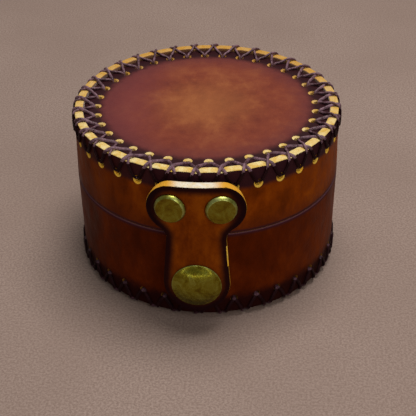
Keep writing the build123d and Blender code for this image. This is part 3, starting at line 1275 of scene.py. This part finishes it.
@dataclass(frozen=True)
class CrossLacing:
    """Flattened lace that crosses over the laced edge of a shell, stitch by stitch.

    Places along a strand are given as (reach from the axis, across, height over the edge), in
    millimetres, and so is lift, by which an upper strand lies over a lower one at the crossing.
    """

    shell: LacedShell
    half_width: float = 0.18 * MM
    half_thickness: float = 0.34 * MM
    lift: float = 0.66
    wall_side: float = 41.3 * MM
    painted_shade_from: float = 0.7 * MM
    long_sway: float = 0.12 * MM
    short_sway: float = 0.08 * MM
    sink: float = 0.05 * MM

    def strand_places(self, over: bool) -> list[Point]:
        """Gives the places of one strand, from the disc's hole to the wall's.

        Args:
            over: Whether the strand is the upper one at the crossing.

        Returns:
            The places, in millimetres.
        """
        lift = self.lift if over else 0.0
        ease = 0.5 * lift
        return [
            (34.9, -3.0, -4.1),
            (34.95, -3.0, -2.4),
            (35.1, -2.85, -1.0),
            (35.7, -2.4, -0.5),
            (36.8, -1.65, -0.38),
            (38.2, -0.85, -0.12 + ease),
            (39.4, -0.15, lift),
            (40.6, 0.5, 0.06 + ease),
            (41.5, 0.95, -0.35 + 0.5 * ease),
            (41.72, 1.3, -1.5),
            (41.66, 2.3, -3.6),
            (41.6, 3.35, -5.0),
            (39.9, 3.62, -5.35),
        ]

    def run_places(self) -> list[Point]:
        """Gives the places of the run behind a hole, from the wall's hole to the disc's.

        Returns:
            The places, in millimetres.
        """
        return [
            (40.2, 0, -5.35),
            (39.0, 0, -5.4),
            (38.2, 0, -5.5),
            (37.0, 0, -5.2),
            (35.9, 0, -4.9),
            (34.9, 0, -4.6),
            (34.9, 0, -4.2),
            (34.9, 0, -3.0),
        ]

    def lay(
        self, name: str, places: Sequence[Point], frame: Frame, mirror: float, width: float
    ) -> bpy.types.Object:
        """Lays one length of lace along a row of places.

        Args:
            name: The name of the new object.
            places: The places, in millimetres.
            frame: The box's places.
            mirror: 1, or -1 to swap left and right.
            width: Half the flat part of the lace.

        Returns:
            The lace as a mesh.
        """
        Bench.clear()
        bpy.ops.curve.primitive_nurbs_path_add()
        obj = bpy.context.object
        bpy.ops.object.mode_set(mode="EDIT")
        bpy.ops.curve.subdivide(number_cuts=3)
        bpy.ops.curve.select_all(action="DESELECT")
        for point in obj.data.splines[0].points[len(places):]:
            point.select = True
        bpy.ops.curve.delete(type="VERT")
        bpy.ops.object.mode_set(mode="OBJECT")
        spline = obj.data.splines[0]
        for point, (reach, across, height) in zip(spline.points, places):
            level = self.shell.edge_z + self.shell.up * height * MM
            point.co = (*frame.spot(reach * MM, mirror * across * MM, level), 1.0)
        spline.order_u = 3
        spline.use_endpoint_u = True
        obj.data.dimensions = "3D"
        obj.data.twist_mode = "MINIMUM"
        obj.data.resolution_u = 3
        obj.data.extrude = width
        obj.data.bevel_depth = self.half_thickness
        obj.data.bevel_resolution = 1
        obj.data.use_fill_caps = True
        bpy.ops.object.convert(target="MESH")
        obj = bpy.context.object
        obj.name = name
        return obj

    def dyed(self, centre: Vector, normal: Vector) -> bool:
        """Tells whether a face lies on the wall, where the lace is painted darker as painted shade.
        """
        drop = (self.shell.edge_z - centre.z) * self.shell.up
        return centre.x > self.wall_side and self.painted_shade_from < drop < self.shell.painted_shade_run

    def build(self, frame: Frame, finishes: Finishes) -> bpy.types.Object:
        """Lays one stitch, repeats it round the edge with small differences, and joins the lot.

        Args:
            frame: The box's places.
            finishes: The materials.

        Returns:
            The whole lacing.
        """
        name = f"{self.shell.name}_lace"
        under = self.lay("lace_under", self.strand_places(False), frame, 1, self.half_width)
        upper = self.lay("lace_over", self.strand_places(True), frame, -1, self.half_width)
        run = self.lay("lace_run", self.run_places(), frame, 1, 2 * self.half_width)
        Bench.swing(run, frame, STEP / 2)
        stitch = Bench.join([under, upper, run], name)
        # Painted shade: the lace legs down the wall take the darker copy of the lace.
        Bench.dress(stitch, self.shell.lace, finishes.painted_shade_lace)
        Bench.paint(stitch, ACCENT, self.dyed)
        stitches = [stitch]
        for index in range(1, STITCHES):
            Bench.take(stitch)
            bpy.ops.object.duplicate(linked=False)
            copy = bpy.context.object
            slip = self.long_sway * math.sin(2.3 * index) + self.short_sway * math.sin(5.1 * index)
            sink = self.sink * abs(math.sin(3.7 * index))
            bpy.ops.transform.translate(value=(0, slip, -self.shell.up * sink))
            Bench.swing(copy, frame, index * STEP)
            stitches.append(copy)
        obj = Bench.join(stitches, name)
        Bench.edit(obj, "SELECT")
        bpy.ops.mesh.remove_doubles(threshold=MERGE)
        bpy.ops.mesh.normals_make_consistent(inside=False)
        Bench.smooth(obj, 60)
        return obj


# Wrapped leather: the strap and the hinge


def segment_gap(point: Vector, start: Vector, end: Vector) -> float:
    """Gives the distance from a point to a straight segment, all in the flat.

    Args:
        point: The point.
        start: The segment's start.
        end: The segment's end.

    Returns:
        The distance.
    """
    along = end - start
    if not along.length:
        return (point - start).length
    share = max(0.0, min(1.0, (point - start).dot(along) / along.length_squared))
    return (point - start - share * along).length


def even(start: float, end: float, count: int) -> list[float]:
    """Gives evenly spaced values from start up to, but without, end."""
    return [start + (end - start) * k / count for k in range(count)]


@dataclass(frozen=True)
class WrappedLeather:
    """A flat cut piece of leather that lies round the wall, as the strap and the hinge do.

    Rows run down the piece from its top. Each row has its drop from the top and its half width.
    The side is 1 at the back of the box and -1 at its front.
    """

    name: str
    rows: Pairs
    top_z: float
    side: float
    thickness: float
    face_radius: Callable[[float], float]
    columns: int = 31
    edge: float = 0.3 * MM

    def build(self, frame: Frame, *finishes: bpy.types.Material) -> bpy.types.Object:
        """Cuts a grid to the outline, lays it round the wall and gives it its thickness.

        Args:
            frame: The box's places.
            finishes: The grain side, the cut edge and the back.

        Returns:
            The piece, with its distance from the cut edge kept as an attribute.
        """
        Bench.clear()
        bpy.ops.mesh.primitive_grid_add(
            x_subdivisions=self.columns, y_subdivisions=len(self.rows) - 1, size=2
        )
        obj = Bench.added(self.name)
        across = self.columns + 1
        for index, vert in enumerate(obj.data.vertices):
            drop, half = self.rows[len(self.rows) - 1 - index // across]
            share = 2 * (index % across) / self.columns - 1
            vert.co = self.laid(frame, share * half, self.top_z - drop)
        Bench.edit(obj, "SELECT")
        bpy.ops.mesh.remove_doubles(threshold=MERGE)
        bpy.ops.mesh.normals_make_consistent(inside=False)
        Bench.clear()
        middle = obj.data.polygons[len(obj.data.polygons) // 2]
        if middle.normal.y * self.side < 0:
            obj.data.flip_normals()
        Bench.dress(obj, *finishes)
        Bench.modify(
            obj,
            "SOLIDIFY",
            thickness=self.thickness,
            offset=-1.0,
            use_even_offset=True,
            material_offset=int(Layer.FLESH),
            material_offset_rim=int(Layer.CUT),
        )
        Bench.modify(
            obj,
            "BEVEL",
            width=self.edge,
            segments=2,
            limit_method="ANGLE",
            angle_limit=math.radians(50),
            use_clamp_overlap=False,
            harden_normals=False,
        )
        self.mark_edge(obj)
        Bench.smooth(obj, 40)
        return obj

    def laid(self, frame: Frame, across: float, height: float) -> Vector:
        """Gives the place on the outer face for a point of the flat piece.

        Args:
            frame: The box's places.
            across: How far the point is to the right of the middle.
            height: Its height.

        Returns:
            The place.
        """
        radius = self.face_radius(height)
        out = self.side * math.sqrt(radius * radius - across * across)
        return Vector((across, frame.axis_y + out, height))

    def mark_edge(self, obj: bpy.types.Object) -> None:
        """Keeps each point's distance from the outline, in millimetres, for the finish to read.

        Args:
            obj: The piece, laid and thickened.
        """
        outline = [Vector((half, self.top_z - drop)) for drop, half in self.rows]
        outline.insert(0, Vector((0, self.top_z - self.rows[0][0])))
        outline.append(Vector((0, self.top_z - self.rows[-1][0])))
        distances = []
        for vert in obj.data.vertices:
            flat = Vector((abs(vert.co.x), vert.co.z))
            gaps = (segment_gap(flat, start, end) for start, end in zip(outline, outline[1:]))
            distances.append(min(gaps) / MM)
        attribute = obj.data.attributes.new(EDGE_ATTRIBUTE, "FLOAT", "POINT")
        attribute.data.foreach_set("value", distances)


@dataclass(frozen=True)
class Strap:
    """The closing strap: two lobes on the lid, a neck over the seam and a round end.

    The cut edge of the neck is painted pale on the right as a painted highlight, and painted dark
    in front on the left as painted shade.
    """

    top_drop: float = 2.0 * MM
    lobe_rise: float = 8.2 * MM
    lobe_radius: float = 7.45 * MM
    lobe_middle: float = 7.1 * MM
    neck: float = 8.85 * MM
    fillet: float = 4.0 * MM
    tongue: float = 9.95 * MM
    tip: float = math.radians(84)
    snap_drop: float = 35.2 * MM
    thickness: float = 3.1 * MM
    edge: float = 0.4 * MM
    yoke_face: float = 46.3 * MM
    tongue_face: float = 47.6 * MM
    flex_drop: float = 20.2 * MM
    stand_off_run: float = 10.5 * MM
    bend: float = 3.6 * MM
    lobe_rows: int = 20
    fillet_rows: int = 6
    neck_rows: int = 14
    end_rows: int = 17
    neck_side: float = 8.2 * MM
    painted_light_span: tuple[float, float] = (23.5 * MM, 30.2 * MM)
    painted_shade_below: float = 32.0 * MM

    def rows(self) -> Pairs:
        """Gives the outline row by row, from the top edge to the tip.

        Returns:
            The drop and the half width of each row.
        """
        lobe = self.lobe_radius
        over = self.neck + self.fillet - self.lobe_middle
        reach = lobe + self.fillet
        fall = math.sqrt(reach * reach - over * over)
        turn_end = math.pi / 2 + math.atan2(fall, over)
        rows = [
            (
                self.lobe_rise - (self.lobe_rise if a < math.pi / 2 else lobe) * math.cos(a),
                self.lobe_middle + lobe * math.sin(a),
            )
            for a in even(0, turn_end, self.lobe_rows)
        ]
        middle = self.lobe_rise + fall
        inner = self.neck + self.fillet
        rows += [
            (middle - self.fillet * math.sin(a), inner - self.fillet * math.cos(a))
            for a in even(math.asin(fall / reach), 0, self.fillet_rows)
        ]
        end = self.snap_drop - self.top_drop
        rows += [
            (drop, self.neck + (self.tongue - self.neck) * (drop - middle) / (end - middle))
            for drop in even(middle, end, self.neck_rows)
        ]
        rows += [
            (end + self.tongue * math.sin(a), self.tongue * math.cos(a))
            for a in (*even(0, self.tip, self.end_rows), self.tip)
        ]
        return tuple(rows)

    def build(self, frame: Frame, finishes: Finishes) -> bpy.types.Object:
        """Builds the strap in one piece that bends at the seam.

        Args:
            frame: The box's places.
            finishes: The materials.

        Returns:
            The strap.
        """
        flex = frame.rim_z - self.flex_drop

        def face(height: float) -> float:
            """Gives the radius of the outer face at a height.

            Args:
                height: The height.

            Returns:
                The radius.
            """
            share = min(1.0, max(0.0, (flex - height) / self.stand_off_run))
            share = share * share * (3 - 2 * share)
            return self.yoke_face + share * (self.tongue_face - self.yoke_face)

        top = frame.rim_z - self.top_drop
        leather = WrappedLeather(
            "strap_leather", self.rows(), top, -1.0, self.thickness, face, edge=self.edge
        )
        obj = leather.build(
            frame, finishes.strap, finishes.strap_cut, finishes.flesh, finishes.punched
        )
        # Painted light: the neck's right edge takes the bright punched finish as a painted
        # highlight, and the front of its left edge takes the dark grain finish as painted shade.
        Bench.paint(obj, Layer.OTHER, self.painted_light_edge)
        Bench.paint(obj, Layer.GRAIN, self.painted_shade_edge)
        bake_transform(obj)
        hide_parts("strap_yoke", "strap_tongue")
        return obj

    def painted_light_edge(self, centre: Vector, normal: Vector) -> bool:
        """Tells whether a face is on the run of the neck's right edge that is painted pale as a
        painted highlight.
        """
        low, high = self.painted_light_span
        return centre.x > self.neck_side and normal.x > 0.35 and low < centre.z < high

    def painted_shade_edge(self, centre: Vector, normal: Vector) -> bool:
        """Tells whether a face rounds the front of the strap's left edge, below the lobe, where it
        is painted dark as painted shade.
        """
        turned = normal.x < -0.25 and normal.y < -0.05
        return centre.x < -self.neck_side and turned and centre.z < self.painted_shade_below


@dataclass(frozen=True)
class LeatherHinge:
    """The leather piece riveted across the seam at the back."""

    half_width: float = 13.0 * MM
    half_height: float = 14.5 * MM
    corner: float = 3.0 * MM
    thickness: float = 2.2 * MM
    face_radius: float = 44.0 * MM
    bend: float = 3.0 * MM
    corner_rows: int = 8
    side_rows: int = 24

    def rows(self) -> Pairs:
        """Gives the outline row by row, from the top edge to the bottom.

        Returns:
            The drop and the half width of each row.
        """
        flat = self.half_width - self.corner
        low = 2 * self.half_height - self.corner
        top = [
            (self.corner * (1 - math.cos(a)), flat + self.corner * math.sin(a))
            for a in even(0, math.pi / 2, self.corner_rows)
        ]
        sides = [(drop, self.half_width) for drop in even(self.corner, low, self.side_rows)]
        end = [(2 * self.half_height - drop, half) for drop, half in reversed(top)]
        return (*top, *sides, (low, self.half_width), *end)

    def build(self, frame: Frame, finishes: Finishes) -> bpy.types.Object:
        """Builds the hinge leather, which lies across the seam.

        Args:
            frame: The box's places.
            finishes: The materials.

        Returns:
            The hinge leather.
        """
        seam = frame.seam_z
        top = seam + self.half_height
        leather = WrappedLeather(
            "hinge_leather", self.rows(), top, 1.0, self.thickness, lambda height: self.face_radius
        )
        obj = leather.build(frame, finishes.strap, finishes.strap_cut, finishes.flesh)
        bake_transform(obj)
        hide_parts("hinge_lower_leaf", "hinge_upper_leaf")
        return obj


# Hardware: rivets and snap


@dataclass(frozen=True)
class Fastener:
    """A piece of brass turned round a line that points straight out of the wall.

    Its section is given as (reach from the box axis, distance from its own line), in millimetres.
    Faces are worn pale, and brightened as a painted highlight, where their normal's share along the
    line is from worn_from to worn.
    """

    name: str
    body: str
    section: Pairs
    height: float
    angles: tuple[float, ...]
    node: str
    steps: int = 48
    worn: float = 0.0
    polished: bool = False
    worn_from: float = 0.3

    def build(self, frame: Frame, finishes: Finishes) -> bpy.types.Object:
        """Turns the section, copies it to each angle and joins the copies.

        Args:
            frame: The box's places.
            finishes: The materials.

        Returns:
            The fastener, or the set of them.
        """
        brass = finishes.snap_brass if self.polished else finishes.brass
        points = [frame.spot(reach * MM, off * MM, self.height) for reach, off in self.section]
        copies = []
        for index, angle in enumerate(self.angles):
            part = Bench.turn(
                f"{self.name}_{index}", points, frame.centre(self.height), OUTWARD, self.steps
            )
            Bench.dress(part, brass, finishes.worn_painted_glint_brass)
            # Worn pale bevels, brightened as a painted highlight.
            if self.worn:
                Bench.paint(part, ACCENT, lambda c, n: self.worn_from < n.x < self.worn)
            Bench.swing(part, frame, math.radians(angle))
            copies.append(part)
        obj = Bench.join(copies, self.name)
        Bench.smooth(obj, 30)
        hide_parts(self.node)
        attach(obj, self.body)
        return obj


@dataclass(frozen=True)
class Hardware:
    """The rivets and the snap head.

    Drops and offsets are in metres, angles in degrees from the right, and what a section is made
    of in millimetres. The backs of the lower hinge rivets show as they were packed.
    """

    strap_rivet_drop: float = 9.3 * MM
    snap_drop: float = 35.2 * MM
    hinge_rivet_off: float = 9 * MM
    front: float = -90.0
    back: float = 90.0
    spread: float = 9.0
    strap_face: float = 46.3
    hinge_face: float = 44.0
    inner_face: float = 38.75
    shank: float = 1.5
    shank_gap: float = 0.1
    cap_radius: float = 4.65
    cap_height: float = 1.6
    cap_bevel: float = 1.05
    back_radius: float = 3.2
    back_height: float = 0.9
    back_bevel: float = 0.45
    snap_seat: float = 47.62
    snap_radius: float = 7.4
    snap_height: float = 2.48
    snap_rim: float = 0.3
    snap_roll: float = 0.14
    dome_rings: int = 14

    @staticmethod
    def cap(seat: float, radius: float, height: float, bevel: float) -> Pairs:
        """Gives the section of a flat cap with a soft bevel and a slightly rounded face.

        Args:
            seat: The reach of the cap's under face.
            radius: The cap's radius.
            height: The cap's height.
            bevel: The width of its bevel.

        Returns:
            The section's points as (reach, distance from the cap's middle), in millimetres.
        """
        top = seat + height
        lip = height - bevel
        return (
            (seat, 0),
            (seat, radius - 0.25),
            (seat + 0.12, radius - 0.06),
            (seat + 0.3, radius),
            (seat + lip - 0.1, radius),
            (seat + lip + 0.06, radius - 0.04),
            (top - 0.14, radius - 0.56 * bevel),
            (top - 0.07, radius - 0.68 * bevel),
            (top - 0.05, radius - 0.85 * bevel),
            (top - 0.04, radius * 0.6),
            (top - 0.01, radius * 0.3),
            (top, 0),
        )

    def dome(self) -> Pairs:
        """Gives the section of the domed snap cap with its rolled rim.

        Returns:
            The section's points as (reach, distance from the cap's middle), in millimetres.
        """
        seat, radius = self.snap_seat, self.snap_radius
        rise = self.snap_height - self.snap_rim
        curve = (radius * radius + rise * rise) / (2 * rise)
        top = radius - self.snap_roll
        points = [
            (seat, 0),
            (seat, radius - 0.3),
            (seat + 0.08, radius - 0.08),
            (seat + 0.2, radius),
            (seat + self.snap_rim, radius),
            (seat + self.snap_rim + 0.2, top),
        ]
        for ring in range(1, self.dome_rings + 1):
            off = top * (1 - ring / self.dome_rings)
            sag = curve - math.sqrt(curve * curve - off * off)
            points.append((seat + self.snap_height - sag, off))
        return tuple(points)

    def rivet_back(self, face: float) -> Pairs:
        """Gives the section of a back cap inside the wall, with its shank through the leather.

        Args:
            face: The reach of the leather's face, in millimetres.

        Returns:
            The section's points as (reach, distance from the cap's middle), in millimetres.
        """
        cap = self.cap(0, self.back_radius, self.back_height, self.back_bevel)
        turned = [(self.inner_face - reach, off) for reach, off in reversed(cap)]
        end = face - self.shank_gap
        return (*turned[:-1], (self.inner_face, self.shank), (end, self.shank), (end, 0))

    def rivets(
        self, name: str, node: str, body: str, face: float, height: float, middle: float
    ) -> tuple[Fastener, Fastener]:
        """Gives the heads and the backs of a pair of rivets.

        Args:
            name: The name that the two pieces begin with.
            node: The name that their solids begin with.
            body: The body that they move with.
            face: The reach of the leather's face.
            height: The height of the rivets.
            middle: The angle half way between them.

        Returns:
            The heads and the backs.
        """
        angles = (middle - self.spread, middle + self.spread)
        head = self.cap(face, self.cap_radius, self.cap_height, self.cap_bevel)
        tail = self.rivet_back(face)
        return (
            Fastener(f"{name}_heads", body, head, height, angles, f"{node}_caps", worn=0.95),
            Fastener(f"{name}_backs", body, tail, height, angles, f"{node}_posts", steps=32),
        )

    def fasteners(self, frame: Frame) -> list[Fastener]:
        """Lists the brass pieces, each with its place and the solid that it stands for.

        Args:
            frame: The box's places.

        Returns:
            The brass pieces, in the order in which they are made.
        """
        strap_z = frame.rim_z - self.strap_rivet_drop
        upper_z = frame.seam_z + self.hinge_rivet_off
        lower_z = frame.seam_z - self.hinge_rivet_off
        lower = self.rivets(
            "hinge_lower", "hinge_lower_rivet", "base", self.hinge_face, lower_z, self.back
        )
        return [
            *self.rivets("strap_rivet", "strap_rivet", "lid", self.strap_face, strap_z, self.front),
            *self.rivets(
                "hinge_upper", "hinge_upper_rivet", "lid", self.hinge_face, upper_z, self.back
            ),
            lower[0],
            Fastener(
                "snap_head",
                "strap",
                self.dome(),
                frame.rim_z - self.snap_drop,
                (self.front,),
                "snap_cap",
                steps=72,
                worn=0.8,
                polished=True,
            ),
        ]

    def build(self, frame: Frame, finishes: Finishes) -> list[bpy.types.Object]:
        """Builds every brass piece."""
        return [part.build(frame, finishes) for part in self.fasteners(frame)]


# Lining: suede ring and floor pad


@dataclass(frozen=True)
class Lining:
    """The suede ring inside the base, with its collar, and the padded floor."""

    seat: float = 7.05 * MM
    outer: float = 38.55 * MM
    inner: float = 36.75 * MM
    collar: float = 4.0 * MM
    ring_corner: float = 0.55 * MM
    ring_steps: int = 180
    pad_radius: float = 36.45 * MM
    pad_top: float = 8.55 * MM
    pad_inset: float = 0.5 * MM
    pad_lip: float = 0.2 * MM
    pad_roll: float = 1.1 * MM
    pad_shoulder: float = 0.72
    pad_steps: int = 120

    def build_ring(self, frame: Frame, finishes: Finishes) -> bpy.types.Object:
        """Turns the suede ring, with a rounded top edge.

        Args:
            frame: The box's places.
            finishes: The materials.

        Returns:
            The ring.
        """
        top = frame.seam_z + self.collar
        section = [
            frame.spot(self.outer, 0, self.seat),
            frame.spot(self.outer, 0, top),
            frame.spot(self.inner, 0, top),
            frame.spot(self.inner, 0, self.seat),
        ]
        obj = Bench.turn(
            "base_lining_ring",
            section,
            frame.centre(),
            UPRIGHT,
            self.ring_steps,
            closed=True,
            soften=self.ring_corner,
            segments=3,
        )
        Bench.dress(obj, finishes.suede)
        Bench.smooth(obj)
        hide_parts("base_liner")
        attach(obj, "base")
        return obj

    def build_pad(self, frame: Frame, finishes: Finishes) -> bpy.types.Object:
        """Turns the floor pad, crowned a little with a soft rolled edge.

        Args:
            frame: The box's places.
            finishes: The materials.

        Returns:
            The pad.
        """
        edge = self.pad_radius
        low = self.seat
        rise = self.pad_top - low
        shoulder = self.pad_shoulder * rise - self.pad_lip
        section = [(0, low), (edge - self.pad_inset, low)]
        for step in range(7):
            angle = step / 6 * math.pi / 2
            reach = edge - self.pad_roll * (1 - math.cos(angle))
            section.append((reach, low + self.pad_lip + shoulder * math.sin(angle)))
        for share, lift in ((0.9, 0.86), (0.75, 0.94), (0.5, 0.98), (0.25, 1.0), (0.0, 1.0)):
            section.append((edge * share, low + rise * lift))
        points = [frame.spot(reach, 0, height) for reach, height in section]
        obj = Bench.turn("base_floor_pad", points, frame.centre(), UPRIGHT, self.pad_steps)
        Bench.dress(obj, finishes.suede)
        Bench.smooth(obj, 60)
        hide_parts("floor_pad")
        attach(obj, "base")
        return obj

    def build(self, frame: Frame, finishes: Finishes) -> list[bpy.types.Object]:
        """Builds the ring and the pad."""
        return [self.build_ring(frame, finishes), self.build_pad(frame, finishes)]


# Studio: floor, lamps and camera


@dataclass(frozen=True)
class Lamp:
    """One soft lamp that points at the box."""

    name: str
    place: Point
    power: float
    colour: Point
    width: float
    height: float

    def build(self, aim: Point) -> None:
        """Hangs the lamp at its place, turned to a point.

        Args:
            aim: The point that the lamp faces.
        """
        Bench.clear()
        bpy.ops.object.light_add(type="AREA", location=self.place)
        lamp = bpy.context.object
        lamp.name = self.name
        lamp.data.shape = "RECTANGLE"
        lamp.data.size = self.width
        lamp.data.size_y = self.height
        lamp.data.energy = self.power
        lamp.data.color = self.colour
        ahead = Vector(aim) - Vector(self.place)
        lamp.rotation_euler = ahead.to_track_quat("-Z", "Y").to_euler()


@dataclass(frozen=True)
class Studio:
    """The floor, the lamps and the camera, which stands where the photograph's camera stood."""

    focal: float = 91.31
    sensor: float = 36.0
    distance: float = 291.78 * MM
    over_rim: float = 158.06 * MM
    turned: float = math.radians(4.402)
    pitch: float = 0.59673
    yaw: float = -0.00006
    roll: float = -0.01405
    nearest: float = 0.01
    farthest: float = 20.0
    floor_size: float = 6.0
    aim_height: float = 0.03
    sky: Colour = (1.0, 0.98, 0.96, 1.0)
    sky_strength: float = 0.21
    lamps: tuple[Lamp, ...] = (
        Lamp("window_above", (0.11, 0.11, 0.80), 5.5, (1.0, 0.98, 0.95), 0.4, 0.4),
        Lamp("front_fill", (0.4, -0.8, 0.62), 2.4, (1.0, 0.97, 0.93), 0.5, 0.5),
        Lamp("low_strip", (0.1, -1.3, 0.03), 1.5, (1.0, 0.98, 0.95), 3.2, 0.05),
    )

    def build_camera(self, frame: Frame) -> None:
        """Puts the camera at the photograph's place and angle.

        Args:
            frame: The box's places.
        """
        ahead = Vector(
            (
                math.sin(self.yaw) * math.cos(self.pitch),
                math.cos(self.yaw) * math.cos(self.pitch),
                -math.sin(self.pitch),
            )
        )
        right = ahead.cross(Vector(UPRIGHT)).normalized()
        up = right.cross(ahead)
        side = right * math.cos(self.roll) + up * math.sin(self.roll)
        over = up * math.cos(self.roll) - right * math.sin(self.roll)
        spin = Matrix.Rotation(self.turned, 3, "Z")
        over_box = Vector(frame.centre(frame.rim_z + self.over_rim))
        place = spin @ Vector((0, -self.distance, 0)) + over_box
        turn = Matrix((spin @ side, spin @ over, -(spin @ ahead))).transposed()
        Bench.clear()
        bpy.ops.object.camera_add()
        camera = bpy.context.object
        camera.name = "photo_camera"
        camera.matrix_world = Matrix.Translation(place) @ turn.to_4x4()
        camera.data.lens = self.focal
        camera.data.sensor_width = self.sensor
        camera.data.clip_start = self.nearest
        camera.data.clip_end = self.farthest
        bpy.context.scene.camera = camera

    def build(self, frame: Frame, finishes: Finishes) -> None:
        """Lays the floor and sets the light and the camera.

        Args:
            frame: The box's places.
            finishes: The materials.
        """
        Bench.clear()
        bpy.ops.mesh.primitive_plane_add(size=self.floor_size)
        floor = Bench.added("tabletop")
        Bench.dress(floor, finishes.floor)
        for lamp in self.lamps:
            lamp.build(frame.centre(self.aim_height))
        world = bpy.data.worlds.new("studio")
        world.use_nodes = True
        backdrop = world.node_tree.nodes["Background"]
        backdrop.inputs["Color"].default_value = self.sky
        backdrop.inputs["Strength"].default_value = self.sky_strength
        bpy.context.scene.world = world
        bpy.context.scene.view_settings.view_transform = "Standard"
        self.build_camera(frame)


# The whole box


def dress_packed(packed: dict, finishes: Finishes) -> None:
    """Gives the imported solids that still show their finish.

    Args:
        finishes: The materials.
    """
    for name in ("snap_stud", "snap_socket", "snap_stud_post", "hinge_lower_rivet_posts"):
        materials = packed["nodes"][name].data.materials
        materials.clear()
        materials.append(finishes.brass)
        LOG.info("dressed %s", name)


def shells(frame: Frame, finishes: Finishes) -> tuple[LacedShell, LacedShell]:
    """Gives the base and the lid. The base's holes are tighter and darker, and its edge is dyed.

    Args:
        frame: The box's places.
        finishes: The materials.

    Returns:
        The base and the lid.
    """
    base = LacedShell(
        name="base",
        edge_z=frame.foot_z,
        seam_z=frame.seam_z,
        up=-1.0,
        wall=finishes.base_shell,
        disc=finishes.bottom,
        disc_node="base_bottom",
        disc_slot=Slot.SHELL,
        punched=finishes.foot_cut,
        lace=finishes.painted_shade_foot_lace,
        lip=0.12 * MM,
        lip_slip=0.0,
        raw_slope=0.95,
        painted_shade_run=4.9 * MM,
    )
    lid = LacedShell(
        name="lid",
        edge_z=frame.rim_z,
        seam_z=frame.seam_z,
        up=1.0,
        wall=finishes.lid_shell,
        disc=finishes.top,
        disc_node="lid_top",
        disc_slot=Slot.TOP,
        # The lid's hole lips take the punched finish, raw fibre that is partly a painted highlight.
        punched=finishes.punched,
        lace=finishes.lace,
    )
    return base, lid


def main() -> None:
    """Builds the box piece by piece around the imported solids, and the studio round it."""
    logging.basicConfig(level=logging.INFO, format="%(message)s")
    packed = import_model()
    Bench.clear()
    frame = Frame.read()
    finishes = Finishes(frame)
    base, lid = shells(frame, finishes)
    pieces = [
        *base.build(frame, finishes),
        *lid.build(frame, finishes),
        Strap().build(frame, finishes),
        LeatherHinge().build(frame, finishes),
        *Lining().build(frame, finishes),
        *Hardware().build(frame, finishes),
    ]
    for piece in pieces:
        LOG.info("built %s, %d faces", piece.name, len(piece.data.polygons))
    dress_packed(packed, finishes)
    Studio().build(frame, finishes)
    Bench.clear()


if __name__ == "__main__":
    main()
